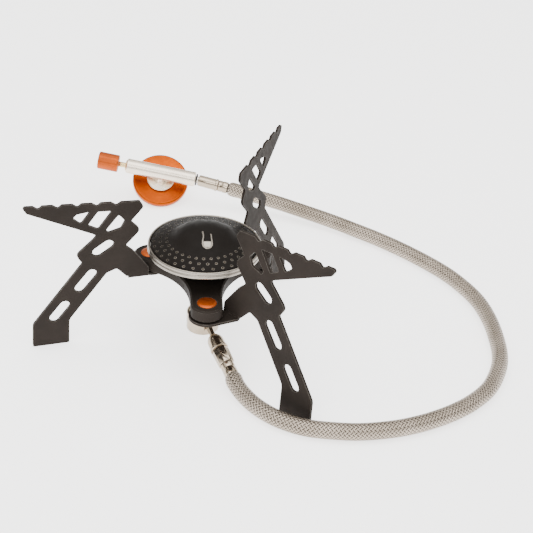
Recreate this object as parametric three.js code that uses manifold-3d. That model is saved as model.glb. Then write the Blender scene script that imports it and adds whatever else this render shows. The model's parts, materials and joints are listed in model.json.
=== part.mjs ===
// Remote-canister gas stove: a low burner on three folding legs, a braided hose and a canister valve.
// Millimetres, +Z up. The stove stands on z = 0.
import * as THREE from "three";
import { mergeVertices } from "three/addons/utils/BufferGeometryUtils.js";
import Module from "manifold-3d";

const wasm = await Module();
wasm.setup();

// ---- driving dimensions ----
// The burner's axis stands here in the part's frame, whose origin is below the middle of the stove's box.
const BURNER_AXIS = new THREE.Vector3(17.388, -4.111, 0);

const PIN_CIRCLE_R = 34; // leg pivots, round the burner's axis
const PIN_AZIMUTHS = [-90, 30, 150];
// Direction of each leg's blade as it stands, from its pivot, and how far that is from its open stop.
const LEGS = [
  { name: "front", azimuth: PIN_AZIMUTHS[0], heading: -45.35 },
  { name: "right", azimuth: PIN_AZIMUTHS[1], heading: 63.18 },
  { name: "left", azimuth: PIN_AZIMUTHS[2], heading: 192.2 },
];

const HUB_BOTTOM = 42;
const HUB_TOP = 49;
const LUG_R = 9.2; // round end of each arm
const ARM_HALF_WIDTH = 8.6; // narrowest place of an arm
const WAIST_R = 15.9; // hollow between two arms, from the axis
const HUB_BEVEL = 0.8;

const SHEET = 1.5; // leg blade and its folded foot plate under the lug
const TAB_R = 9.7;
const TAB_BOTTOM = 39.9;
const BLADE_OFFSET = 11.1; // blade's mid-plane from the pivot, at BLADE_OFFSET_HEIGHT
const BLADE_OFFSET_HEIGHT = 51.8;
const BLADE_LEAN = Math.tan(THREE.MathUtils.degToRad(5.1));
const FOLD_OUTER_R = 2.3;
const FOLD_FROM = 3.5; // clear of the hub's arm, which the blade's inner edge meets when it is open
const FOLD_TO = 14.6;

const PIN_R = 1.9;
const PIN_HOLE_R = 2.2;
const BUTTON_R = 5.2;

const RING_R = 31.2; // stainless rim of the burner head
const CAP_R = 29.5;

const BLOCK_R = 9.2; // gas block under the mixing tube
const BLOCK_BOTTOM = 9.6;
const BLOCK_TOP = 22;
const MIXER_R = 6;
const FEED_HEIGHT = 15.8;
const FEED_AZIMUTH = -71.5; // the gas enters the block on this side

const HOSE_R = 4.6;

const BARREL_R = 4.85; // valve body's tube
const BARREL_AZIMUTH = 171.5; // the barrel's direction, towards the knob
const BARREL_RISE = THREE.MathUtils.degToRad(8.3);
const COLLAR_ROLL = THREE.MathUtils.degToRad(54.1); // the connector leans back on the collar's rim
const COLLAR_R = 18.6;
const COLLAR_BACK = -15; // along the collar's axis from the barrel's axis
const COLLAR_FRONT = -10.5;
const INSERT_R = 7.9;
const INSERT_END = -22.8;
const SOCKET_R = 5.6; // takes a 7/16 inch canister valve
const SOCKET_FLOOR = -16.6;
const VALVE_CENTRE = new THREE.Vector3(-21.35, 159.48, 23.2); // where the barrel's axis crosses the collar's

// ---- materials ----
const material = (color, roughness, metalness) =>
  new THREE.MeshStandardMaterial({ color, roughness, metalness });
const blackPaint = material(0x3b3835, 0.5, 0.35);
const capBlack = material(0x2c2b2a, 0.42, 0.4);
const orangeAnodised = material(0xd9601c, 0.35, 0.75);
const orangeCollar = material(0xe8692a, 0.38, 0.6);
const stainless = material(0xbdb9b2, 0.3, 1);
const nickel = material(0xcfc7b8, 0.22, 1);
const satinSteel = material(0xd6d3cd, 0.35, 0.95);
const brass = material(0xb89a5e, 0.3, 1);
const braid = material(0xaaa59b, 0.42, 0.9);
const rubber = material(0x1b1a19, 0.7, 0);

// ---- helpers ----
const stove = new THREE.Group();
stove.position.copy(BURNER_AXIS);

function add(name, geometry, mat, parent = stove) {
  const mesh = new THREE.Mesh(geometry, mat);
  mesh.name = name;
  parent.add(mesh);
  return mesh;
}

// A turned piece about +Z. The profile is [radius, height] points, anticlockwise round the section.
function turned(profile, segments = 24) {
  const points = profile.map(([r, z]) => new THREE.Vector2(r, z));
  return new THREE.LatheGeometry(points, segments).rotateX(Math.PI / 2);
}

// A ring or tube: rectangular section with its four edges broken by c.
function ring(inner, outer, bottom, top, c = 0.2, segments = 24) {
  return turned(
    [
      [inner, bottom],
      [outer - c, bottom],
      [outer, bottom + c],
      [outer, top - c],
      [outer - c, top],
      [inner, top],
      [inner, bottom],
    ],
    segments,
  );
}

function disc(radius, bottom, top, c = 0.2, segments = 24) {
  return turned(
    [
      [0, bottom],
      [radius - c, bottom],
      [radius, bottom + c],
      [radius, top - c],
      [radius - c, top],
      [0, top],
    ],
    segments,
  );
}

function solid(geometry) {
  const plain = geometry.index ? geometry.toNonIndexed() : geometry.clone();
  plain.deleteAttribute("normal");
  plain.deleteAttribute("uv");
  const merged = mergeVertices(plain, 1e-4);
  return new wasm.Manifold(
    new wasm.Mesh({
      numProp: 3,
      vertProperties: merged.attributes.position.array,
      triVerts: new Uint32Array(merged.index.array),
    }),
  );
}

function geometryOf(body) {
  const mesh = body.getMesh();
  const geometry = new THREE.BufferGeometry();
  geometry.setAttribute("position", new THREE.BufferAttribute(mesh.vertProperties, 3));
  geometry.setIndex(new THREE.BufferAttribute(mesh.triVerts, 1));
  geometry.computeVertexNormals();
  return geometry;
}

const join = (...geometries) =>
  geometryOf(geometries.map(solid).reduce((whole, piece) => whole.add(piece)));
const cut = (geometry, ...tools) =>
  geometryOf(tools.map(solid).reduce((whole, tool) => whole.subtract(tool), solid(geometry)));

// An outline whose corners [x, y, radius] are rounded.
function rounded(corners, Outline = THREE.Shape) {
  const outline = new Outline();
  corners.forEach(([x, y, radius], i) => {
    const here = new THREE.Vector2(x, y);
    const before = new THREE.Vector2(...corners.at(i - 1)).sub(here);
    const after = new THREE.Vector2(...corners[(i + 1) % corners.length]).sub(here);
    const half = before.angleTo(after) / 2;
    const reach = Math.min(radius / Math.tan(half), 0.45 * before.length(), 0.45 * after.length());
    const start = before.setLength(reach).add(here);
    const end = after.setLength(reach).add(here);
    if (i === 0) outline.moveTo(start.x, start.y);
    else outline.lineTo(start.x, start.y);
    outline.quadraticCurveTo(x, y, end.x, end.y);
  });
  outline.closePath();
  return outline;
}

const polar = (radius, degrees, z = 0) => {
  const angle = THREE.MathUtils.degToRad(degrees);
  return new THREE.Vector3(radius * Math.cos(angle), radius * Math.sin(angle), z);
};

// A group whose +Z runs from one point to another.
function axisGroup(from, to) {
  const group = new THREE.Group();
  group.position.copy(from);
  const direction = to.clone().sub(from).normalize();
  group.quaternion.setFromUnitVectors(new THREE.Vector3(0, 0, 1), direction);
  stove.add(group);
  return group;
}

function tubeAlong(points, radius, sides, steps) {
  const section = new THREE.Shape();
  for (let i = 0; i < sides; i++) {
    const a = (i * 2 * Math.PI) / sides;
    const [x, y] = [radius * Math.cos(a), radius * Math.sin(a)];
    if (i === 0) section.moveTo(x, y);
    else section.lineTo(x, y);
  }
  section.closePath();
  const path = new THREE.CatmullRomCurve3(points.map((p) => new THREE.Vector3(...p)), false, "centripetal");
  return new THREE.ExtrudeGeometry(section, { steps, bevelEnabled: false, extrudePath: path });
}

// ---- hub: a thick plate with three round-ended arms ----
function hubOutline() {
  // Between two arms the edge is one arc, tangent to both arms and WAIST_R from the axis.
  const sin60 = Math.sin(Math.PI / 3);
  const arcR = (sin60 * WAIST_R - ARM_HALF_WIDTH) / (1 - sin60);
  const arcCentre = WAIST_R + arcR;
  const outline = new THREE.Shape();
  const lugSweep = 66; // the lug's round end, either side of its arm's direction
  for (const azimuth of PIN_AZIMUTHS) {
    const pin = polar(PIN_CIRCLE_R, azimuth);
    for (let a = -lugSweep; a <= lugSweep; a += 12) {
      const p = polar(LUG_R, azimuth + a).add(pin);
      if (azimuth === PIN_AZIMUTHS[0] && a === -lugSweep) outline.moveTo(p.x, p.y);
      else outline.lineTo(p.x, p.y);
    }
    const centre = polar(arcCentre, azimuth + 60);
    for (let a = 28; a >= -28; a -= 7) {
      const p = polar(arcR, azimuth + 240 + a).add(centre);
      outline.lineTo(p.x, p.y);
    }
  }
  outline.closePath();
  return outline;
}

const CUP_NECK_R = 8;
const hubPlate = new THREE.ExtrudeGeometry(hubOutline(), {
  depth: HUB_TOP - HUB_BOTTOM - 2 * HUB_BEVEL,
  bevelThickness: HUB_BEVEL,
  bevelSize: HUB_BEVEL,
  bevelOffset: -HUB_BEVEL,
  bevelSegments: 1,
  curveSegments: 6,
}).translate(0, 0, HUB_BOTTOM + HUB_BEVEL);
const counterboreFloor = HUB_TOP - 1.2;
const hubHoles = PIN_AZIMUTHS.flatMap((azimuth) => {
  const pin = polar(PIN_CIRCLE_R, azimuth);
  return [
    disc(PIN_HOLE_R, HUB_BOTTOM - 1, HUB_TOP, 0, 16).translate(pin.x, pin.y, 0),
    disc(BUTTON_R + 0.3, counterboreFloor, HUB_TOP + 1, 0, 20).translate(pin.x, pin.y, 0),
  ];
});
const hubBore = disc(CUP_NECK_R + 0.3, HUB_BOTTOM - 1, HUB_TOP + 1, 0, 28);
add("hub", cut(hubPlate, hubBore, ...hubHoles), blackPaint);

// ---- burner head ----
const CUP_TOP = 64.5;
add(
  "burner_cup",
  turned(
    [
      [MIXER_R + 0.3, 40.5],
      [CUP_NECK_R, 40.5],
      [CUP_NECK_R, 49.3],
      [12.2, 49.3],
      [13.4, 50.2],
      [29, 60.6],
      [29.5, 61.4],
      [29.5, CUP_TOP],
      [28.3, CUP_TOP],
      [28.3, 61.7],
      [27.9, 61.1],
      [12.9, 51.4],
      [12, 50.7],
      [MIXER_R + 0.3, 50.7],
      [MIXER_R + 0.3, 40.5],
    ],
    36,
  ),
  blackPaint,
);
// Rolled stainless rim: a lower band, a groove and a slightly smaller upper band.
add(
  "burner_ring",
  turned(
    [
      [29.8, 61.5],
      [30.9, 61.5],
      [RING_R, 61.9],
      [RING_R, 63.2],
      [30.75, 63.5],
      [30.75, 63.8],
      [31, 64.1],
      [30.9, 65.1],
      [30.5, 65.5],
      [30.1, 65.5],
      [29.8, 65.1],
      [29.8, 61.5],
    ],
    40,
  ),
  stainless,
);
add(
  "burner_cap",
  turned(
    [
      [0, 74.8],
      [6, 74.3],
      [11, 72.9],
      [14.2, 71],
      [16.6, 68.5],
      [28.3, 64.8],
      [CAP_R - 0.2, 64.8],
      [CAP_R, 65.2],
      [CAP_R - 0.3, 65.6],
      [17.6, 69.2],
      [15.1, 71.8],
      [11.4, 73.9],
      [6.1, 75.3],
      [0, 75.8],
    ],
    36,
  ),
  capBlack,
);
add("flame_screen", ring(2.2, 27.8, 62.2, 62.9, 0.1, 28), stainless);

// ---- mixing tube, jet and gas block ----
const airHoles = [];
const AIR_HOLE_HEIGHT = 28;
for (const azimuth of [0, 60, 120]) {
  airHoles.push(
    new THREE.CylinderGeometry(1.7, 1.7, 3 * MIXER_R, 8)
      .rotateZ(THREE.MathUtils.degToRad(azimuth + 90))
      .translate(0, 0, AIR_HOLE_HEIGHT),
  );
}
add("mixing_tube", cut(ring(4.9, MIXER_R, BLOCK_TOP + 0.3, 50.4, 0.15, 24), ...airHoles), stainless);
add(
  "gas_jet",
  turned(
    [
      [0, 18.4],
      [2.5, 18.4],
      [2.5, BLOCK_TOP + 0.8],
      [1.5, BLOCK_TOP + 1.6],
      [1.5, 25.6],
      [0.5, 26.2],
      [0, 26.2],
    ],
    16,
  ),
  brass,
);
const blockBody = turned(
  [
    [0, BLOCK_BOTTOM],
    [BLOCK_R - 1.6, BLOCK_BOTTOM],
    [BLOCK_R, BLOCK_BOTTOM + 0.8],
    [BLOCK_R, BLOCK_TOP - 1.2],
    [BLOCK_R - 0.6, BLOCK_TOP - 0.5],
    [MIXER_R + 1.4, BLOCK_TOP],
    [2.8, BLOCK_TOP],
    [2.8, 18.1],
    [0, 18.1],
  ],
  24,
);
const feedBore = new THREE.CylinderGeometry(2.05, 2.05, 8, 16)
  .translate(0, 9, FEED_HEIGHT)
  .rotateZ(THREE.MathUtils.degToRad(FEED_AZIMUTH - 90));
add("gas_block", cut(blockBody, feedBore), nickel);

// ---- leg pivots: orange screw, washer and nut ----
for (const { name, azimuth } of LEGS) {
  const pivot = new THREE.Group();
  pivot.position.copy(polar(PIN_CIRCLE_R, azimuth));
  stove.add(pivot);
  add(
    "pivot_screw_" + name,
    turned(
      [
        [0, 37.6],
        [PIN_R, 37.6],
        [PIN_R, counterboreFloor + 0.15],
        [BUTTON_R, counterboreFloor + 0.15],
        [BUTTON_R, HUB_TOP + 0.1],
        [4.6, HUB_TOP + 0.5],
        [3.2, HUB_TOP + 0.8],
        [0, HUB_TOP + 0.95],
      ],
      28,
    ),
    orangeAnodised,
    pivot,
  );
  add("pivot_washer_" + name, ring(PIN_HOLE_R, 6, 41.5, 41.9, 0, 24), stainless, pivot);
  add("pivot_nut_" + name, ring(PIN_HOLE_R, 4.4, 37.3, 39.8, 0.3, 6), stainless, pivot);
}

// ---- legs ----
// The blade is drawn in its own plane: s runs out from the pivot, h is the height.
const TOOTH_PITCH = 10.3;
const FIRST_VALLEY = 21.6;
const crestHeight = (s) => 91.4 + 0.058 * (s - 9);
const crest = [];
for (let s = FIRST_VALLEY; s < 65; s += TOOTH_PITCH) {
  const outer = Math.min(s + 8.3, 69.8);
  crest.push(
    [s, crestHeight(s) - 1.9, 1.1],
    [s + 2.7, crestHeight(s + 2.7), 0.6],
    [outer, crestHeight(outer), 0.6],
  );
}
const bladeBottom = TAB_BOTTOM + FOLD_OUTER_R;
const bladeOutline = [
  [FOLD_FROM, bladeBottom, 0],
  [15.9, bladeBottom, 0],
  [21.4, 48.4, 1.6],
  [27, 46, 2],
  [48, 16.4, 6],
  [48.4, 0, 1.1],
  [68.9, 0, 1.3],
  [68.3, 15.8, 5],
  [40.3, 54.5, 1.4],
  [43.8, 60.2, 3.2],
  [31.8, 71.9, 2],
  [69, 90.6, 0.9],
  [70.8, 93.8, 0.7],
  ...crest.reverse(),
  [18.9, crestHeight(18.9), 0.6],
  [9, crestHeight(9), 0.9],
  [6.8, 87.6, 2],
  [13.7, 79, 1.3],
  [8.1, 73, 3.4],
  [16.6, 63.3, 1.4],
  [12.4, 59.5, 3],
  [FOLD_FROM, 46.9, 3],
];
const bladeWindows = [
  [[42.9, 86.8, 0.9], [35.6, 87.9, 0.8], [40.7, 80.6, 1], [44.9, 84.6, 1]],
  [[31.5, 87.3, 0.9], [23.9, 86.9, 0.8], [31.4, 76.1, 1], [37.1, 79.2, 1.2]],
  [[20.4, 84, 0.9], [17, 79.7, 1.2], [19.2, 75.1, 1.4], [26, 73.1, 1], [27.3, 74.8, 0.8]],
];
const SLOT_WIDTH = 5.5;
// The centres of each slot's round ends.
const bladeSlots = [
  [[25.8, 65.4], [32, 61]],
  [[35.1, 46.9], [42, 37.8]],
  [[50.3, 27.2], [56.4, 19]],
];

function slotPath([[s0, h0], [s1, h1]]) {
  const angle = Math.atan2(h1 - h0, s1 - s0);
  const r = SLOT_WIDTH / 2;
  const path = new THREE.Path();
  path.absarc(s0, h0, r, angle + Math.PI / 2, angle + 1.5 * Math.PI, false);
  path.absarc(s1, h1, r, angle - Math.PI / 2, angle + Math.PI / 2, false);
  path.closePath();
  return path;
}

// Turns a drawing in (s, h) extruded by SHEET into the leaning blade, centred on its mid-plane.
function blade() {
  const outline = rounded(bladeOutline);
  outline.holes = bladeWindows.map((w) => rounded(w, THREE.Path)).concat(bladeSlots.map(slotPath));
  const flat = new THREE.ExtrudeGeometry(outline, { depth: SHEET, bevelEnabled: false, curveSegments: 3 });
  flat.rotateX(Math.PI / 2).translate(0, BLADE_OFFSET + SHEET / 2 - BLADE_LEAN * BLADE_OFFSET_HEIGHT, 0);
  const lean = new THREE.Matrix4().set(1, 0, 0, 0, 0, 1, BLADE_LEAN, 0, 0, 0, 1, 0, 0, 0, 0, 1);
  return flat.applyMatrix4(lean);
}

const bladeAtFold = BLADE_OFFSET + BLADE_LEAN * (bladeBottom - BLADE_OFFSET_HEIGHT);
const foldCentre = bladeAtFold + SHEET / 2 - FOLD_OUTER_R;

// The quarter-round fold between the blade and the level plate, drawn across it and swept along s.
function fold() {
  const overlap = 0.3;
  const section = new THREE.Shape();
  section.moveTo(foldCentre - overlap, TAB_BOTTOM);
  section.absarc(foldCentre, bladeBottom, FOLD_OUTER_R, -Math.PI / 2, 0, false);
  section.lineTo(foldCentre + FOLD_OUTER_R, bladeBottom + overlap);
  section.lineTo(foldCentre + FOLD_OUTER_R - SHEET, bladeBottom + overlap);
  section.absarc(foldCentre, bladeBottom, FOLD_OUTER_R - SHEET, 0, -Math.PI / 2, true);
  section.lineTo(foldCentre - overlap, TAB_BOTTOM + SHEET);
  section.closePath();
  const swept = new THREE.ExtrudeGeometry(section, {
    depth: FOLD_TO - FOLD_FROM,
    bevelEnabled: false,
    curveSegments: 4,
  });
  // Drawn (across, up) and swept along +z: turn it to (s, across, up).
  const turn = new THREE.Matrix4().set(0, 0, 1, FOLD_FROM, 1, 0, 0, 0, 0, 1, 0, 0, 0, 0, 0, 1);
  return swept.applyMatrix4(turn);
}

// The level plate under the lug: a round end about the pivot, and a flare to the fold.
function tab() {
  const corner = new THREE.Vector2(FOLD_TO, foldCentre);
  const tangent = corner.angle() - Math.acos(TAB_R / corner.length());
  const outline = new THREE.Shape();
  outline.moveTo(corner.x, corner.y);
  outline.lineTo(FOLD_FROM, foldCentre);
  const from = Math.acos(FOLD_FROM / TAB_R);
  outline.absarc(0, 0, TAB_R, from, tangent + 2 * Math.PI, false);
  outline.closePath();
  return new THREE.ExtrudeGeometry(outline, {
    depth: SHEET,
    bevelEnabled: false,
    curveSegments: 20,
  }).translate(0, 0, TAB_BOTTOM);
}

const tabHole = disc(PIN_HOLE_R, TAB_BOTTOM - 1, TAB_BOTTOM + 3, 0, 16);
const legGeometry = cut(join(blade(), fold(), tab()), tabHole);
for (const { name, azimuth, heading } of LEGS) {
  const leg = add("leg_" + name, legGeometry.clone(), blackPaint);
  leg.position.copy(polar(PIN_CIRCLE_R, azimuth));
  leg.rotation.z = THREE.MathUtils.degToRad(heading);
}

// ---- hose ----
const HOSE_ROUTE = [
  [14.5, -43.3, 7.2],
  [16.2, -49.7, 6.2],
  [19.8, -57.1, 5.2],
  [25.5, -66.1, 4.8],
  [33.3, -74.5, 4.75],
  [42.2, -80.8, 4.75],
  [52.1, -85.1, 4.75],
  [64.4, -87.4, 4.75],
  [76.8, -88.5, 4.75],
  [90, -87.6, 4.75],
  [103.1, -85.1, 4.75],
  [117.3, -80.2, 4.75],
  [131.7, -73, 4.75],
  [144, -64.3, 4.75],
  [155, -52.8, 4.75],
  [163.5, -37.1, 4.75],
  [167.8, -23.1, 4.75],
  [169.7, -5.6, 4.75],
  [169.9, 11.6, 4.75],
  [167.9, 29, 4.75],
  [163.4, 43.2, 4.75],
  [156, 58.7, 4.75],
  [146.1, 72.9, 4.85],
  [132.8, 88.2, 5.05],
  [118.9, 102, 5.2],
  [104.1, 113.7, 5.8],
  [89, 124.4, 6.7],
  [73.2, 132.8, 8.4],
  [57, 140.2, 10.6],
  [40.6, 145.7, 13.2],
  [23.6, 151.3, 15.7],
];

// ---- feed tube and the fitting at the burner's end of the hose ----
const FEED_TUBE_ROUTE = [
  [1.9, -5.7, 15.8],
  [3.1, -9.2, 15.75],
  [4.2, -12.7, 15.2],
  [5.2, -16.3, 14.25],
  [6.5, -20, 13.3],
];
add(
  "feed_tube",
  tubeAlong(FEED_TUBE_ROUTE, 1.75, 10, 10),
  nickel,
);
const feedFittingStart = new THREE.Vector3(5.2, -16.3, 14.25);
const feedFitting = axisGroup(feedFittingStart, new THREE.Vector3(...HOSE_ROUTE[0]));
add(
  "feed_nipple",
  turned(
    [
      [2.3, 0],
      [2.9, 0.2],
      [3.9, 1.3],
      [4.5, 2.9],
      [4.65, 4.8],
      [4.65, 8.2],
      [0, 8.2],
      [0, 5.2],
      [2.3, 5.2],
      [2.3, 0],
    ],
    20,
  ),
  nickel,
  feedFitting,
);
add(
  "feed_union_nut",
  join(
    disc(5.1, 8.5, 10.1, 0.35, 20),
    turned([[0, 9.6], [4.4, 9.6], [4.75, 10.5], [4.75, 12], [4.5, 20.4], [4.1, 20.9], [0, 20.9]], 8),
  ),
  nickel,
  feedFitting,
);
add(
  "feed_crimp",
  turned(
    [
      [0, 21.2],
      [3.7, 21.2],
      [3.9, 21.5],
      [3.9, 23.6],
      [3.6, 24.1],
      [3.6, 24.6],
      [3.95, 25.1],
      [3.95, 28.5],
      [3.7, 28.9],
      [0, 28.9],
    ],
    20,
  ),
  nickel,
  feedFitting,
);

add("hose", tubeAlong(HOSE_ROUTE, HOSE_R, 10, 40), braid);

// ---- connector: fittings at the valve's end of the hose ----
const valveFittingStart = new THREE.Vector3(3.35, 155.8, 19.55);
const valveFitting = axisGroup(valveFittingStart, new THREE.Vector3(...HOSE_ROUTE.at(-1)));
add(
  "valve_coupling",
  turned(
    [
      [3, 0],
      [3.3, 0],
      [3.75, 0.7],
      [3.75, 11.6],
      [4.1, 12],
      [4.1, 13.2],
      [3.8, 13.5],
      [0, 13.5],
      [0, 2.8],
      [3, 2.8],
      [3, 0],
    ],
    20,
  ),
  nickel,
  valveFitting,
);
add(
  "valve_crimp",
  turned(
    [
      [0, 13.8],
      [3.5, 13.8],
      [3.7, 14.1],
      [3.7, 16.4],
      [3.45, 16.8],
      [3.8, 17.2],
      [3.8, 19.9],
      [3.4, 20.3],
      [0, 20.3],
    ],
    20,
  ),
  nickel,
  valveFitting,
);

// ---- connector: valve body, knob and collar ----
// In this group +X is the barrel's axis towards the knob and +Z the collar's axis, away from the canister.
const connector = new THREE.Group();
const barrelAxis = polar(Math.cos(BARREL_RISE), BARREL_AZIMUTH, Math.sin(BARREL_RISE));
const level = polar(1, BARREL_AZIMUTH + 90);
const collarAxis = level.applyAxisAngle(barrelAxis, COLLAR_ROLL);
const across = collarAxis.clone().cross(barrelAxis);
connector.quaternion.setFromRotationMatrix(new THREE.Matrix4().makeBasis(barrelAxis, across, collarAxis));
connector.position.copy(VALVE_CENTRE);
stove.add(connector);

const NECK_R = 2.3;
const barrel = turned(
  [
    [0, -26],
    [NECK_R, -26],
    [NECK_R, -23.1],
    [BARREL_R - 0.5, -23.1],
    [BARREL_R, -22.6],
    [BARREL_R, 22.8],
    [BARREL_R - 0.6, 23.4],
    [3.9, 23.4],
    [3.9, 19.4],
    [2.1, 19.4],
    [2.1, 5],
    [0, 4],
  ],
  24,
).rotateY(Math.PI / 2);
// The boss under the barrel, and the stem that holds the turning collar.
const boss = turned(
  [
    [0, -18.9],
    [2.6, -18.9],
    [2.6, -18.2],
    [5.2, -18.2],
    [5.2, SOCKET_FLOOR - 0.3],
    [4.1, SOCKET_FLOOR - 0.3],
    [4.1, COLLAR_FRONT + 0.3],
    [8.9, COLLAR_FRONT + 0.3],
    [9.2, COLLAR_FRONT + 0.6],
    [9.2, -8.7],
    [8.9, -8.4],
    [5.2, -8],
    [4.6, -2],
    [0, -2],
  ],
  28,
);
const pinBore = disc(1.2, -20, -15, 0, 8);
const bore = disc(2.1, 5, 19.4, 0, 12).rotateY(Math.PI / 2);
add("valve_body", cut(join(barrel, boss), pinBore, bore), satinSteel, connector);
add("depressor_pin", disc(0.9, -19.4, -15.3, 0.1, 8), brass, connector);
add(
  "canister_seal",
  turned([[3, -19.4], [4, -19.4], [4.5, -19.1], [4.5, -18.8], [4, -18.5], [3, -18.5], [3, -19.4]], 20),
  rubber,
  connector,
);
add("neck_seal", ring(2.5, 3.9, -24.4, -23.4, 0.2, 20).rotateY(Math.PI / 2), rubber, connector);
add("gland_nut", ring(1.95, 3.6, 19.7, 24, 0.3, 20).rotateY(Math.PI / 2), brass, connector);
add(
  "spindle",
  turned([[0, 6.5], [0.7, 7.2], [1.7, 9.8], [1.7, 32.5], [1.4, 33], [0, 33]], 12).rotateY(Math.PI / 2),
  brass,
  connector,
);
const KNOB_R = 5.75;
const knobBlank = turned(
  [
    [2, 28.8],
    [5.2, 28.8],
    [KNOB_R - 0.1, 29.3],
    [KNOB_R, 30],
    [KNOB_R, 41.4],
    [KNOB_R - 0.3, 42.1],
    [KNOB_R - 1, 42.4],
    [0, 42.5],
    [0, 33.3],
    [2, 33.3],
    [2, 28.8],
  ],
  24,
).rotateY(Math.PI / 2);
const flutes = [];
const FLUTES = 12;
for (let i = 0; i < FLUTES; i++) {
  const flute = new THREE.CylinderGeometry(0.55, 0.55, 10, 6).rotateZ(Math.PI / 2);
  flute.translate(35.7, 0, KNOB_R + 0.2).rotateX((i * 2 * Math.PI) / FLUTES);
  flutes.push(flute);
}
add("valve_knob", cut(knobBlank, ...flutes), orangeAnodised, connector);

add(
  "collar",
  turned(
    [
      [INSERT_R + 0.3, COLLAR_BACK],
      [COLLAR_R - 0.5, COLLAR_BACK],
      [COLLAR_R, COLLAR_BACK + 0.5],
      [COLLAR_R, COLLAR_FRONT - 1],
      [COLLAR_R - 0.9, COLLAR_FRONT],
      [7.3, COLLAR_FRONT],
      [7.3, COLLAR_BACK + 1.5],
      [INSERT_R + 0.3, COLLAR_BACK + 1.5],
      [INSERT_R + 0.3, COLLAR_BACK],
    ],
    40,
  ),
  orangeCollar,
  connector,
);
add(
  "thread_insert",
  turned(
    [
      [SOCKET_R, INSERT_END],
      [INSERT_R - 0.4, INSERT_END],
      [INSERT_R, INSERT_END + 0.4],
      [INSERT_R, COLLAR_BACK + 1.2],
      [7, COLLAR_BACK + 1.2],
      [7, COLLAR_FRONT - 0.6],
      [4.4, COLLAR_FRONT - 0.6],
      [4.4, SOCKET_FLOOR],
      [SOCKET_R, SOCKET_FLOOR],
      [SOCKET_R, INSERT_END],
    ],
    24,
  ),
  nickel,
  connector,
);

export default stove;
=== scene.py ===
import json
from math import atan2, cos, pi, radians, sin, tau

import bmesh
import bpy
from mathutils import Matrix, Vector
from mathutils.geometry import interpolate_bezier


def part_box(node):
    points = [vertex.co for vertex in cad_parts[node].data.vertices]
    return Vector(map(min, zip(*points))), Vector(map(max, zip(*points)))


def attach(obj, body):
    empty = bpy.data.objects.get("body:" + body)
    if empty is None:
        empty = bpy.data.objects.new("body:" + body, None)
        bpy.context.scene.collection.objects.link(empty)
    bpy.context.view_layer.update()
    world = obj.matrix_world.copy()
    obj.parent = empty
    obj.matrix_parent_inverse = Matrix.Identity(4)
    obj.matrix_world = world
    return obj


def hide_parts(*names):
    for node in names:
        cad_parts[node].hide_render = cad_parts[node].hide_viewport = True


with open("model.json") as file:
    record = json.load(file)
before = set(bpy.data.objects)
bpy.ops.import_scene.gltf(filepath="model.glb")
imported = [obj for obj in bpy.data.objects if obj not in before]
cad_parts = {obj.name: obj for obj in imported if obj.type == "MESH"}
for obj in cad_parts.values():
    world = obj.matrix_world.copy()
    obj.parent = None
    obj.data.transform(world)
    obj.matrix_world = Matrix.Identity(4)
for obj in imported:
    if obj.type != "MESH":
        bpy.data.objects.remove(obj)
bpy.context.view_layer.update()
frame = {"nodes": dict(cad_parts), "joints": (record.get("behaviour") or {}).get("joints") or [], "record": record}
MM = 0.001


def middle(node):
    """The middle of a CAD node's box."""
    low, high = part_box(node)
    return (low + high) / 2


BURNER_AXIS = Vector((*middle("burner_ring").xy, 0))
JOINTS = {joint["name"]: joint for joint in frame["joints"]}


def from_burner(x, y, z):
    """A point given in mm from the foot of the burner's axis."""
    return BURNER_AXIS + Vector((x, y, z)) * MM


# ---------------------------------------------------------------- camera

CAMERA_PLACE = (-33.07, -587.97, 423.62)
VIEW_DIRECTION = Vector((0.0965, 0.8401, -0.5338)).normalized()
CAMERA_ROLL = radians(3.31)
LENS = 85.4


def make_camera():
    """The photo's viewpoint, fitted to the legs, the rim and the ground."""
    forward = VIEW_DIRECTION
    level_right = forward.cross(Vector((0, 0, 1))).normalized()
    level_up = level_right.cross(forward)
    right = cos(CAMERA_ROLL) * level_right + sin(CAMERA_ROLL) * level_up
    up = right.cross(forward)
    data = bpy.data.cameras.new("camera")
    data.sensor_width = 36
    data.lens = LENS
    data.clip_end = 30
    camera = bpy.data.objects.new("camera", data)
    turn = Matrix((right, up, -forward)).transposed().to_4x4()
    camera.matrix_world = Matrix.Translation(from_burner(*CAMERA_PLACE)) @ turn
    bpy.context.scene.collection.objects.link(camera)
    bpy.context.scene.camera = camera


make_camera()


# ---------------------------------------------------------------- material nodes


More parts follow.
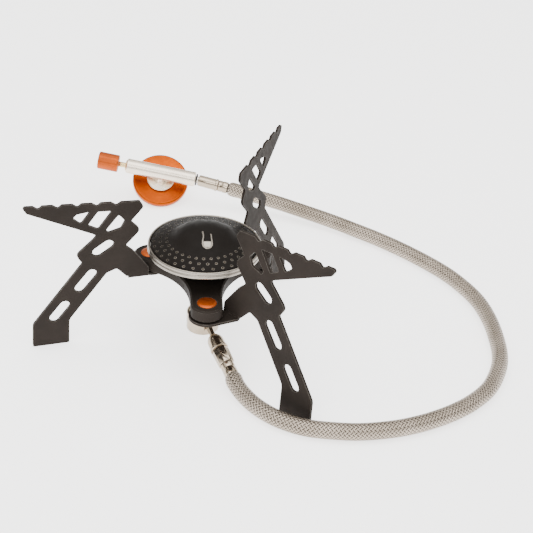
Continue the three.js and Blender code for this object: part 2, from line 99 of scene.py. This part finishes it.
class Nodes:
    """A material's node tree, with short calls for the nodes used here."""

    def __init__(self, name):
        self.material = bpy.data.materials.new(name)
        self.material.use_nodes = True
        self.tree = self.material.node_tree
        self.shader = self.tree.nodes["Principled BSDF"]

    def add(self, kind, **values):
        node = self.tree.nodes.new(kind)
        for key, value in values.items():
            setattr(node, key, value)
        return node

    def feed(self, socket, value):
        """Links a socket to the socket, or sets a plain value on it."""
        if isinstance(value, bpy.types.NodeSocket):
            self.tree.links.new(value, socket)
        else:
            socket.default_value = value

    def set(self, name, value):
        """Feeds one of the shader's inputs."""
        self.feed(self.shader.inputs[name], value)

    def object_point(self, stretch=(1, 1, 1)):
        mapping = self.add("ShaderNodeMapping")
        mapping.inputs["Scale"].default_value = stretch
        coordinates = self.add("ShaderNodeTexCoord")
        self.feed(mapping.inputs["Vector"], coordinates.outputs["Object"])
        return mapping.outputs["Vector"]

    def noise(self, scale, detail=3, stretch=(1, 1, 1)):
        node = self.add("ShaderNodeTexNoise")
        self.feed(node.inputs["Vector"], self.object_point(stretch))
        node.inputs["Scale"].default_value = scale
        node.inputs["Detail"].default_value = detail
        return node.outputs["Fac"]

    def math(self, operation, a, b=0.0):
        node = self.add("ShaderNodeMath", operation=operation)
        self.feed(node.inputs[0], a)
        self.feed(node.inputs[1], b)
        return node.outputs[0]

    def band(self, value, low, high, to_low=0.0, to_high=1.0):
        """Maps low..high to to_low..to_high, and holds the ends beyond them."""
        node = self.add("ShaderNodeMapRange")
        self.feed(node.inputs["Value"], value)
        limits = {"From Min": low, "From Max": high, "To Min": to_low, "To Max": to_high}
        for key, limit in limits.items():
            node.inputs[key].default_value = limit
        return node.outputs["Result"]

    def mix(self, amount, a, b):
        node = self.add("ShaderNodeMix", data_type="RGBA")
        self.feed(node.inputs["Factor"], amount)
        for socket, colour in ((node.inputs[6], a), (node.inputs[7], b)):
            self.feed(socket, colour if isinstance(colour, bpy.types.NodeSocket) else (*colour, 1))
        return node.outputs[2]

    def bump(self, height, strength, distance):
        node = self.add("ShaderNodeBump")
        node.inputs["Strength"].default_value = strength
        node.inputs["Distance"].default_value = distance
        self.feed(node.inputs["Height"], height)
        self.set("Normal", node.outputs["Normal"])

    def edge(self, radius):
        """About 1 on edges that bend within radius, and 0 on flat faces."""
        bevel = self.add("ShaderNodeBevel", samples=6)
        bevel.inputs["Radius"].default_value = radius
        geometry = self.add("ShaderNodeNewGeometry")
        product = self.add("ShaderNodeVectorMath", operation="DOT_PRODUCT")
        self.feed(product.inputs[0], bevel.outputs["Normal"])
        self.feed(product.inputs[1], geometry.outputs["Normal"])
        return self.band(product.outputs["Value"], 0.99, 0.86)


def coated_black(name, base, roughness, edge_colour, wear, shine):
    """Heat-resistant black coat: fine orange peel, faint mottling, and rubbed edges."""
    n = Nodes(name)
    mottled = n.mix(n.band(n.noise(55, 5), 0.35, 0.7), base, [1.35 * c for c in base])
    rubbed = n.math("MULTIPLY", n.edge(0.0006), n.band(n.noise(420), 0.38, 0.62, 0.25, wear))
    n.set("Base Color", n.mix(rubbed, mottled, edge_colour))
    n.set("Specular IOR Level", shine)
    n.set("Roughness", n.band(n.noise(260, 4), 0.3, 0.7, roughness - 0.07, roughness + 0.08))
    n.bump(n.noise(2600, 2), 0.22, 0.00006)
    return n.material


def metal(name, base, dark, roughness, stretch=(1, 1, 1), scale=900, grain=0.25):
    """Bare or plated metal with a fine grain, stretched along one axis where it is brushed or turned."""
    n = Nodes(name)
    tarnish = n.band(n.noise(90, 4), 0.42, 0.72)
    n.set("Base Color", n.mix(tarnish, base, dark))
    n.set("Metallic", 1.0)
    grain_noise = n.noise(scale, 3, stretch)
    n.set("Roughness", n.band(grain_noise, 0.3, 0.7, roughness - 0.05, roughness + 0.08))
    n.bump(grain_noise, grain, 0.00003)
    return n.material


def anodised(name, base, deep, roughness, metallic):
    """Dyed aluminium: satin grain under the dye, darker in patches, paler on worn edges."""
    n = Nodes(name)
    dyed = n.mix(n.band(n.noise(140, 4), 0.35, 0.7), base, deep)
    worn = n.math("MULTIPLY", n.edge(0.0003), 0.45)
    n.set("Base Color", n.mix(worn, dyed, (0.9, 0.42, 0.16)))
    n.set("Metallic", metallic)
    n.set("Roughness", n.band(n.noise(700, 3), 0.3, 0.7, roughness - 0.05, roughness + 0.07))
    n.bump(n.noise(3000, 2), 0.15, 0.00003)
    return n.material


BRAID_BANDS = 12
WIRES_IN_BAND = 3


def woven_steel():
    """Braided wire sleeve: two sets of flat wire bands that cross over and under each other, with painted shade in
    the gaps between the bands.
    The mesh's UV map runs once round the hose in u, and counts turns of the braid in v."""
    n = Nodes("woven_steel")
    uv = n.add("ShaderNodeTexCoord").outputs["UV"]
    split = n.add("ShaderNodeSeparateXYZ")
    n.feed(split.inputs[0], uv)
    u = n.math("MULTIPLY", split.outputs["X"], BRAID_BANDS)
    v = n.math("MULTIPLY", split.outputs["Y"], BRAID_BANDS)
    one_way = n.math("ADD", u, v)
    other_way = n.math("SUBTRACT", u, v)

    def crown(phase):
        # 1 in the middle of a band, and 0 between two bands, where the phase is a whole number.
        return n.math("ABSOLUTE", n.math("SINE", n.math("MULTIPLY", phase, pi)))

    def wires(phase):
        strands = n.math("SINE", n.math("MULTIPLY", phase, WIRES_IN_BAND * tau))
        return n.band(strands, -1, 1, 0.75, 1)

    over = n.math("MULTIPLY", n.math("COSINE", n.math("MULTIPLY", one_way, pi)),
                  n.math("COSINE", n.math("MULTIPLY", other_way, pi)))
    which = n.band(over, -0.12, 0.12)
    first = n.math("MULTIPLY", crown(one_way), wires(one_way))
    second = n.math("MULTIPLY", crown(other_way), wires(other_way))
    height = n.math("ADD", n.math("MULTIPLY", first, which),
                    n.math("MULTIPLY", second, n.math("SUBTRACT", 1.0, which)))
    # 0 between the wire bands, where a near-black colour is painted in as shade, and 1 on the wires.
    gap_shade_mask = n.band(height, 0.2, 0.75)
    bright = n.mix(n.band(n.noise(60, 4), 0.35, 0.7), (0.52, 0.44, 0.36), (0.36, 0.3, 0.235))
    n.set("Base Color", n.mix(gap_shade_mask, (0.035, 0.028, 0.022), bright))
    n.set("Metallic", 0.9)
    n.set("Roughness", n.band(height, 0.1, 1, 0.5, 0.3))
    n.bump(height, 0.9, 0.00035)
    return n.material


def rubber():
    """Black rubber, slightly uneven and dull."""
    n = Nodes("rubber")
    n.set("Base Color", n.mix(n.noise(300, 4), (0.012, 0.012, 0.012), (0.035, 0.032, 0.03)))
    n.set("Roughness", n.band(n.noise(800, 3), 0.3, 0.7, 0.6, 0.75))
    n.bump(n.noise(2500, 2), 0.2, 0.00004)
    return n.material


MATERIALS = {
    "black_paint": coated_black(
        "black_paint", (0.0165, 0.0128, 0.0105), roughness=0.55,
        edge_colour=(0.15, 0.135, 0.12), wear=0.75, shine=0.06,
    ),
    "cap_black": coated_black(
        "cap_black", (0.0085, 0.007, 0.006), roughness=0.5,
        edge_colour=(0.06, 0.055, 0.05), wear=0.4, shine=0.045,
    ),
    "stainless": metal("stainless", (0.3, 0.27, 0.235), (0.22, 0.195, 0.165), 0.27, stretch=(1, 1, 14)),
    "nickel": metal("nickel", (0.44, 0.365, 0.28), (0.34, 0.275, 0.2), 0.15, scale=500, grain=0.12),
    "satin_steel": metal("satin_steel", (0.84, 0.74, 0.61), (0.72, 0.62, 0.5), 0.3, scale=1600),
    "brass": metal("brass", (0.72, 0.54, 0.27), (0.5, 0.35, 0.16), 0.26),
    "orange_anodised": anodised(
        "orange_anodised", (0.42, 0.068, 0.0002), (0.34, 0.053, 0.0001), roughness=0.4, metallic=0.7
    ),
    "orange_collar": anodised(
        "orange_collar", (0.38, 0.06, 0.0002), (0.3, 0.046, 0.0001), roughness=0.34, metallic=0.97
    ),
    "braid": woven_steel(),
    "rubber": rubber(),
}
RECORD = frame["record"]
SLOT_OF = {entry["node"]: entry["material_slot"] for entry in RECORD["subparts"]}
BODY_OF = {node: body for body, nodes in RECORD["behaviour"]["bodies"].items() for node in nodes}


# ---------------------------------------------------------------- mesh helpers


def as_object(name, mesh, body, slot, *nodes, sharp=35):
    """Links a mesh as a piece that rides on a body, takes a slot's material and stands for CAD nodes."""
    piece = bpy.data.objects.new(name, mesh)
    bpy.context.scene.collection.objects.link(piece)
    for polygon in mesh.polygons:
        polygon.use_smooth = True
    mesh.set_sharp_from_angle(angle=radians(sharp))
    mesh.materials.clear()
    mesh.materials.append(MATERIALS[slot])
    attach(piece, body)
    if nodes:
        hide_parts(*nodes)
    return piece


def turned(profile, segments=96):
    """A mesh turned about +Z from [radius, height] points in mm. Both ends of the profile are on the axis,
    or it ends where it starts."""
    bm = bmesh.new()
    closed = profile[0] == profile[-1]
    points = profile[:-1] if closed else profile
    rings = []
    for radius, height in points:
        if radius == 0:
            rings.append([bm.verts.new((0, 0, height * MM))] * segments)
            continue
        angles = [i * tau / segments for i in range(segments)]
        circle = [(radius * MM * cos(a), radius * MM * sin(a), height * MM) for a in angles]
        rings.append([bm.verts.new(place) for place in circle])
    pairs = list(zip(rings, rings[1:] + rings[:1])) if closed else list(zip(rings, rings[1:]))
    for lower, upper in pairs:
        for i in range(segments):
            j = (i + 1) % segments
            corners = []
            for vertex in (lower[i], lower[j], upper[j], upper[i]):
                if vertex not in corners:
                    corners.append(vertex)
            if len(corners) > 2:
                bm.faces.new(corners)
    bmesh.ops.recalc_face_normals(bm, faces=bm.faces)
    mesh = bpy.data.meshes.new("turned")
    bm.to_mesh(mesh)
    bm.free()
    return mesh


def refined(node, bevel):
    """The CAD node's own shape, welded, with rounded edges (bevel in mm) and smooth curved faces."""
    source = frame["nodes"][node]
    bm = bmesh.new()
    bm.from_mesh(source.data)
    bmesh.ops.remove_doubles(bm, verts=bm.verts, dist=1e-6)
    bmesh.ops.dissolve_limit(bm, angle_limit=radians(0.4), verts=bm.verts, edges=bm.edges)
    mesh = bpy.data.meshes.new(node + "_fine")
    bm.to_mesh(mesh)
    bm.free()
    piece = as_object(node + "_fine", mesh, BODY_OF[node], SLOT_OF[node], node)
    if bevel:
        rounding = piece.modifiers.new("rounding", "BEVEL")
        rounding.width = bevel * MM
        rounding.segments = 2
        rounding.limit_method = "ANGLE"
        rounding.angle_limit = radians(38)
        rounding.harden_normals = True
    return piece


# ---------------------------------------------------------------- hose

HOSE_ROUTE = [
    (14.5, -43.3, 7.2), (16.2, -49.7, 6.2), (19.8, -57.1, 5.2), (25.5, -66.1, 4.8), (33.3, -74.5, 4.75),
    (42.2, -80.8, 4.75), (52.1, -85.1, 4.75), (64.4, -87.4, 4.75), (76.8, -88.5, 4.75), (90, -87.6, 4.75),
    (103.1, -85.1, 4.75), (117.3, -80.2, 4.75), (131.7, -73, 4.75), (144, -64.3, 4.75), (155, -52.8, 4.75),
    (163.5, -37.1, 4.75), (167.8, -23.1, 4.75), (169.7, -5.6, 4.75), (169.9, 11.6, 4.75), (167.9, 29, 4.75),
    (163.4, 43.2, 4.75), (156, 58.7, 4.75), (146.1, 72.9, 4.85), (132.8, 88.2, 5.05), (118.9, 102, 5.2),
    (104.1, 113.7, 5.8), (89, 124.4, 6.7), (73.2, 132.8, 8.4), (57, 140.2, 10.6), (40.6, 145.7, 13.2),
    (23.6, 151.3, 15.7),
]
HOSE_RADIUS = 4.6
END_RADIUS = 3.9  # where the braid goes under a ferrule
FLARE = 1.2  # length over which the braid widens from its end
FLARE_SLOPE = 0.6
BULGE = 0.18
BULGE_END = 7
HOSE_SIDES = 32
# Each fitting's own start, and the gaps between its pieces along it: from, to and radius in mm.
FEED_FITTING_START = (5.2, -16.3, 14.25)
FEED_GAPS = [(8.22, 8.48, 4.2), (20.92, 21.18, 3.5), (28.92, 29.3, 3.4)]
VALVE_FITTING_START = (3.35, 155.8, 19.55)
VALVE_GAPS = [(13.52, 13.78, 3.3), (20.32, 20.9, 3.1)]


def smooth_route(points, pieces):
    """Points along one smooth curve through the route."""
    tangents = []
    for i, point in enumerate(points):
        before = points[max(i - 1, 0)]
        after = points[min(i + 1, len(points) - 1)]
        tangents.append((after - before) / 6 if 0 < i < len(points) - 1 else (after - before) / 3)
    line = []
    for i in range(len(points) - 1):
        a, b = points[i], points[i + 1]
        line += interpolate_bezier(a, a + tangents[i], b - tangents[i + 1], b, pieces + 1)[:-1]
    line.append(points[-1])
    return line


def hose_radius(along, length):
    """The braid bulges where it leaves each ferrule, and is drawn in under it."""
    from_end = min(along, length - along) / MM
    if from_end < FLARE:
        return END_RADIUS + FLARE_SLOPE * from_end
    if from_end < BULGE_END:
        return HOSE_RADIUS + BULGE * sin(pi * (from_end - FLARE) / (BULGE_END - FLARE))
    return HOSE_RADIUS


def distances_along(line):
    """How far along the line each of its points is."""
    walked = [0.0]
    for before, after in zip(line, line[1:]):
        walked.append(walked[-1] + (after - before).length)
    return walked


def rings_round(bm, line, walked):
    """A ring of vertices round each point of the line."""
    side = Vector((0, 0, 1))
    rings = []
    for i, point in enumerate(line):
        tangent = (line[min(i + 1, len(line) - 1)] - line[max(i - 1, 0)]).normalized()
        side = (side - side.dot(tangent) * tangent).normalized()
        other = tangent.cross(side)
        radius = hose_radius(walked[i], walked[-1]) * MM
        angles = [k * tau / HOSE_SIDES for k in range(HOSE_SIDES)]
        rings.append([bm.verts.new(point + radius * (cos(a) * side + sin(a) * other)) for a in angles])
    return rings


def make_hose():
    """The braided sleeve, with the UV map that the weave is drawn in."""
    line = smooth_route([from_burner(*point) for point in HOSE_ROUTE], pieces=14)
    walked = distances_along(line)
    bm = bmesh.new()
    uv = bm.loops.layers.uv.new("braid")
    rings = rings_round(bm, line, walked)
    turns_per_metre = 1 / (tau * HOSE_RADIUS * MM * 0.9)
    for i in range(len(rings) - 1):
        for k in range(HOSE_SIDES):
            j = (k + 1) % HOSE_SIDES
            face = bm.faces.new((rings[i][k], rings[i][j], rings[i + 1][j], rings[i + 1][k]))
            corners = ((k, i), (k + 1, i), (k + 1, i + 1), (k, i + 1))
            for loop, (round_step, ring_step) in zip(face.loops, corners):
                loop[uv].uv = (round_step / HOSE_SIDES, walked[ring_step] * turns_per_metre)
    for ring in (rings[0], rings[-1]):
        bm.faces.new(ring)
    bmesh.ops.recalc_face_normals(bm, faces=bm.faces)
    mesh = bpy.data.meshes.new("hose_braid")
    bm.to_mesh(mesh)
    bm.free()
    hose = as_object("hose_braid", mesh, "burner", "braid", "hose", sharp=50)
    return hose, line, walked[-1]


def make_seam_shade_discs():
    """Dark discs across the gaps where the pieces of each fitting meet, painting the shade of each seam as a dark
    line.
    """
    discs = bmesh.new()
    fittings = [
        (FEED_FITTING_START, HOSE_ROUTE[0], FEED_GAPS),
        (VALVE_FITTING_START, HOSE_ROUTE[-1], VALVE_GAPS),
    ]
    for start, end, gaps in fittings:
        turn = (Vector(end) - Vector(start)).to_track_quat("Z", "Y").to_matrix().to_4x4()
        place = Matrix.Translation(from_burner(*start)) @ turn
        for near, far, radius in gaps:
            piece = turned([(0, near), (radius, near), (radius, far), (0, far)], segments=40)
            piece.transform(place)
            discs.from_mesh(piece)
            bpy.data.meshes.remove(piece)
    mesh = bpy.data.meshes.new("seam_shade_discs")
    discs.to_mesh(mesh)
    discs.free()
    # The discs take the dark rubber material as painted shade in each seam.
    return as_object("seam_shade_discs", mesh, "burner", "rubber")


hose, hose_line, hose_length = make_hose()
painted_seam_shade = make_seam_shade_discs()


# ---------------------------------------------------------------- burner head

HOLES_IN_ROW = 33
FIRST_HOLE = radians(-4.4)
HOLE_ROWS = (27.7, 24.3, 20.9)
HOLE_RADIUS = 0.8
HOLE_SIDES = 14
LINING_DEPTH = 1.3
LINING_WALL = 0.12
# The cap's upper side from its edge to its crown, [radius, height] in mm: a cone that flows into a dome.
CAP_TOP = [
    (29.3, 65.2), (29.2, 65.5), (29, 65.65), (23.5, 67.35), (20.2, 68.4), (18.7, 68.95), (17.6, 69.5),
    (16.6, 70.15), (15.6, 70.9), (14.6, 71.6), (13.4, 72.35), (12, 73.05), (10.3, 73.75), (8.4, 74.4),
    (6.4, 74.95), (4.2, 75.4), (2, 75.68), (0, 75.76),
]
CONE_FOOT, CONE_HEAD = CAP_TOP[2:4]
CONE_LEAN = atan2(CONE_HEAD[1] - CONE_FOOT[1], CONE_FOOT[0] - CONE_HEAD[0])


def cap_height(radius):
    """Height of the cap's upper side at a radius, both in mm."""
    for (outer, low), (inner, high) in zip(CAP_TOP, CAP_TOP[1:]):
        if inner <= radius <= outer:
            return low + (high - low) * (outer - radius) / (outer - inner)
    return CAP_TOP[0][1]


def hole_places():
    """The radius and angle of each hole, alternate rows being half a step apart."""
    for row, radius in enumerate(HOLE_ROWS):
        for i in range(HOLES_IN_ROW):
            yield radius, FIRST_HOLE + (i + 0.5 * (row % 2)) * tau / HOLES_IN_ROW - pi / 2


def hole_matrix(radius, angle):
    """Places a piece drawn about +Z square on the cone at a hole."""
    place = Vector((radius * cos(angle), radius * sin(angle), cap_height(radius))) * MM
    return Matrix.Translation(place) @ Matrix.Rotation(angle, 4, "Z") @ Matrix.Rotation(CONE_LEAN, 4, "Y")


def many(mesh, matrices):
    """One mesh that holds a copy of a small mesh at each matrix."""
    bm = bmesh.new()
    for matrix in matrices:
        part = mesh.copy()
        part.transform(matrix)
        bm.from_mesh(part)
        bpy.data.meshes.remove(part)
    joined = bpy.data.meshes.new(mesh.name + "_many")
    bm.to_mesh(joined)
    bm.free()
    return joined


def make_cap():
    """The cap's shell, its holes and their bare metal."""
    underside = [(0, 74.9), (6, 74.1), (11, 72.6), (14.2, 70.9), (17, 68.6), (28.1, 64.95), (29, 64.95)]
    shell = turned(underside + CAP_TOP, segments=132)
    cap = as_object("cap_perforated", shell, "burner", "cap_black", "burner_cap", sharp=50)
    cap.location = BURNER_AXIS
    holes = [hole_matrix(*place) for place in hole_places()]
    drill = turned([(0, -2.5), (HOLE_RADIUS, -2.5), (HOLE_RADIUS, 2), (0, 2)], HOLE_SIDES)
    drills = bpy.data.objects.new("drills", many(drill, holes))
    drills.location = BURNER_AXIS
    bpy.context.scene.collection.objects.link(drills)
    cutting = cap.modifiers.new("holes", "BOOLEAN")
    cutting.object = drills
    cutting.solver = "EXACT"
    bpy.context.view_layer.update()
    evaluated = cap.evaluated_get(bpy.context.evaluated_depsgraph_get())
    drilled = bpy.data.meshes.new_from_object(evaluated)
    cap.modifiers.remove(cutting)
    cap.data = drilled
    for polygon in drilled.polygons:
        polygon.use_smooth = True
    drilled.set_sharp_from_angle(angle=radians(40))
    bpy.data.objects.remove(drills)

    # The holes were punched after coating: bare steel walls, with bare metal behind them.
    wall = HOLE_RADIUS - 0.02
    inside = wall - LINING_WALL
    lining = turned([
        (0, -LINING_DEPTH), (wall, -LINING_DEPTH), (wall, -0.02), (inside, -0.02),
        (inside - 0.02, 0.1 - LINING_DEPTH), (0, 0.1 - LINING_DEPTH),
    ], HOLE_SIDES)
    linings = as_object("hole_linings", many(lining, holes), "burner", "stainless")
    linings.data.transform(Matrix.Translation(BURNER_AXIS))


def make_ring():
    """Rolled stainless rim in two bands, with a groove between them."""
    section = [
        (29.75, 61.6), (30.75, 61.5), (31.05, 61.65), (31.2, 61.95), (31.2, 62.9), (31.05, 63.25),
        (30.8, 63.4), (30.72, 63.6), (30.8, 63.8), (30.98, 64.0), (31.05, 64.4), (30.98, 65.0),
        (30.75, 65.38), (30.4, 65.5), (30, 65.42), (29.75, 65.15), (29.75, 61.6),
    ]
    mesh = turned(section, segments=160)
    ring = as_object("rim_rolled", mesh, "burner", "stainless", "burner_ring", sharp=60)
    ring.location = BURNER_AXIS


LOOP_CENTRE = Vector((0.6, -12.7))  # middle of the loop's bend, seen from above
LOOP_HALF_WIDTH = 2.6
LOOP_WIRE_RADIUS = 0.45
WIRE_LIFT = 0.12  # height of the wire's middle above the dome
TONGUE_LIFT = 0.3
TONGUE_ROWS = 8
TONGUE_ROW_STEP = 0.52
TONGUE_COLUMNS = 8
TONGUE_THICKNESS = 0.3


def on_dome(x, y, lift):
    """A point above the cap, x and y from the loop's centre, in mm."""
    place = LOOP_CENTRE + Vector((x, y))
    return from_burner(place.x, place.y, cap_height(place.length) + lift)


def make_wire():
    """The bent wire: two legs of slightly different lengths and a round bend."""
    angles = [pi + i * pi / 12 for i in range(13)]
    bend = [(LOOP_HALF_WIDTH * cos(a), LOOP_HALF_WIDTH * sin(a)) for a in angles]
    left_leg = [(-2.2, 7.8), (-2.1, 6.6), (-1.9, 5), (-2, 3.4), (-2.45, 1.5)]
    right_leg = [(2.5, 1.6), (2.3, 3.4), (2.25, 5), (2.1, 6)]
    outline = left_leg + bend + right_leg
    curve = bpy.data.curves.new("dome_loop", "CURVE")
    curve.dimensions = "3D"
    curve.bevel_depth = LOOP_WIRE_RADIUS * MM
    curve.bevel_resolution = 4
    curve.use_fill_caps = True
    spline = curve.splines.new("POLY")
    spline.points.add(len(outline) - 1)
    for point, (x, y) in zip(spline.points, outline):
        point.co = (*on_dome(x, y, WIRE_LIFT), 1)
    loop = bpy.data.objects.new("dome_loop", curve)
    bpy.context.scene.collection.objects.link(loop)
    curve.materials.append(MATERIALS["stainless"])
    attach(loop, "burner")


def make_tongue():
    """The flat tongue that fills the wire's bend."""
    bm = bmesh.new()
    rows = []
    for row in range(TONGUE_ROWS):
        y = -LOOP_HALF_WIDTH + 0.25 + row * TONGUE_ROW_STEP
        reach = (LOOP_HALF_WIDTH**2 - min(y, 0) ** 2) ** 0.5 - 0.2
        across = [-reach + column * 2 * reach / TONGUE_COLUMNS for column in range(TONGUE_COLUMNS + 1)]
        rows.append([bm.verts.new(on_dome(x, y, TONGUE_LIFT)) for x in across])
    for lower, upper in zip(rows, rows[1:]):
        for i in range(TONGUE_COLUMNS):
            bm.faces.new((lower[i], lower[i + 1], upper[i + 1], upper[i]))
    mesh = bpy.data.meshes.new("dome_tongue")
    bm.to_mesh(mesh)
    bm.free()
    tongue = as_object("dome_tongue", mesh, "burner", "stainless")
    thickness = tongue.modifiers.new("thickness", "SOLIDIFY")
    thickness.thickness = TONGUE_THICKNESS * MM
    thickness.offset = -1


make_cap()
make_ring()
make_wire()
make_tongue()


# ---------------------------------------------------------------- connector


def on_joint(joint_name):
    """A matrix whose +Z is a joint's axis, at the joint's place."""
    joint = JOINTS[joint_name]
    turn = Vector((0, 0, 1)).rotation_difference(Vector(joint["axis"])).to_matrix().to_4x4()
    return Matrix.Translation(Vector(joint["pos_m"])) @ turn


def make_collar():
    """Turned aluminium collar: a chamfered rim and a fine step near its edge."""
    section = [
        (8.2, -15), (17.9, -15), (18.35, -14.85), (18.6, -14.5), (18.6, -11.6), (18.45, -11.25),
        (17.75, -10.62), (17.45, -10.52), (16.9, -10.58), (16.7, -10.66), (9.9, -10.66), (7.3, -10.7),
        (7.3, -13.5), (8.2, -13.5), (8.2, -15),
    ]
    mesh = turned(section, segments=144)
    mesh.transform(on_joint("collar_turn"))
    return as_object("collar_turned", mesh, "canister_collar", "orange_collar", "collar", sharp=40)


FLUTES = 12
FLUTE_DEPTH = 0.09
FLUTES_FROM, FLUTES_TO = 30.5, 41  # along the knob's axis


def make_knob():
    """Faintly fluted grip with a rounded nose."""
    profile = [
        (0, 28.82), (4.9, 28.82), (5.5, 28.95), (5.72, 29.3), (5.75, 30), (5.75, 31), (5.75, 40.6),
        (5.75, 41.5), (5.65, 42), (5.3, 42.35), (4.7, 42.48), (2, 42.5), (0, 42.5),
    ]
    mesh = turned(profile, segments=12 * FLUTES)
    for vertex in mesh.vertices:
        along = vertex.co.z / MM
        if FLUTES_FROM < along < FLUTES_TO and vertex.co.xy.length > 5 * MM:
            angle = atan2(vertex.co.y, vertex.co.x)
            depth = FLUTE_DEPTH * max(cos(FLUTES * angle), 0) ** 2
            vertex.co.xy *= 1 - depth * MM / vertex.co.xy.length
    mesh.transform(on_joint("valve_knob_turn"))
    return as_object("knob_fluted", mesh, "knob", "orange_anodised", "valve_knob", sharp=40)


collar = make_collar()
knob = make_knob()


# ---------------------------------------------------------------- the CAD's own shapes

# Radius in mm of the rounding on each node's edges, where it isn't EDGE_RADIUS.
BEVELS = {
    "hub": 0.15,
    "leg_front": 0.12,
    "leg_right": 0.12,
    "leg_left": 0.12,
    "burner_cup": 0,
    "valve_body": 0.08,
    "gas_block": 0.08,
}
EDGE_RADIUS = 0.06
REPLACED = ("hose", "burner_cap", "burner_ring", "collar", "valve_knob")
own_shapes = [node for node in frame["nodes"] if node not in REPLACED]
fine = {node: refined(node, BEVELS.get(node, EDGE_RADIUS)) for node in own_shapes}


# ---------------------------------------------------------------- floor and light

FLOOR_REACH = 8
FLOOR_GLOW = 2.0


def make_floor():
    """A plain white floor that glows slightly, to come near the photo's burnt-out white."""
    mesh = bpy.data.meshes.new("floor")
    corners = [(x * FLOOR_REACH, y * FLOOR_REACH, 0) for x, y in ((-1, -1), (1, -1), (1, 1), (-1, 1))]
    mesh.from_pydata(corners, [], [(0, 1, 2, 3)])
    floor = bpy.data.objects.new("floor", mesh)
    bpy.context.scene.collection.objects.link(floor)
    n = Nodes("floor")
    n.set("Base Color", n.mix(n.noise(6), (0.9, 0.9, 0.9), (0.92, 0.915, 0.91)))
    n.set("Roughness", 0.6)
    n.set("Specular IOR Level", 0.2)
    n.set("Emission Color", (1, 1, 1, 1))
    n.set("Emission Strength", FLOOR_GLOW)
    mesh.materials.append(n.material)


LIGHT_TARGET = Vector((0.03, 0.03, 0.04))


def add_light(name, place, size, power):
    """A rectangular area light aimed at the stove."""
    data = bpy.data.lights.new(name, "AREA")
    data.shape = "RECTANGLE"
    data.size, data.size_y = size
    data.energy = power
    light = bpy.data.objects.new(name, data)
    light.location = place
    light.rotation_euler = (LIGHT_TARGET - Vector(place)).to_track_quat("-Z", "Y").to_euler()
    bpy.context.scene.collection.objects.link(light)


WORLD_STRENGTH = 1.6
# The shade of the studio at the sine of each elevation.
STUDIO_SHADES = [(0.0, 0.95), (0.23, 0.9), (0.28, 0.03), (0.36, 0.03), (0.62, 1.0)]


def make_world():
    """A pale backdrop, a dark band of wall above it for bright metal to mirror, and a white ceiling."""
    world = bpy.data.worlds.new("studio")
    bpy.context.scene.world = world
    world.use_nodes = True
    tree = world.node_tree
    direction = tree.nodes.new("ShaderNodeTexCoord")
    height = tree.nodes.new("ShaderNodeSeparateXYZ")
    walls = tree.nodes.new("ShaderNodeValToRGB")
    walls.color_ramp.interpolation = "EASE"
    walls.color_ramp.elements.remove(walls.color_ramp.elements[1])
    for i, (place, shade) in enumerate(STUDIO_SHADES):
        stop = walls.color_ramp.elements.new(place) if i else walls.color_ramp.elements[0]
        stop.color = (shade, shade, shade, 1)
    strength = tree.nodes.new("ShaderNodeMath")
    strength.operation = "MULTIPLY"
    strength.inputs[1].default_value = WORLD_STRENGTH
    background = tree.nodes["Background"]
    background.inputs["Color"].default_value = (1, 0.985, 0.96, 1)
    tree.links.new(direction.outputs["Generated"], height.inputs[0])
    tree.links.new(height.outputs["Z"], walls.inputs["Fac"])
    tree.links.new(walls.outputs["Color"], strength.inputs[0])
    tree.links.new(strength.outputs[0], background.inputs["Strength"])


make_floor()
make_world()
add_light("overhead", (0.0, -0.1, 1.3), (1.4, 1.1), 16)
add_light("front", (-0.35, -1.3, 0.9), (1.1, 0.5), 9)
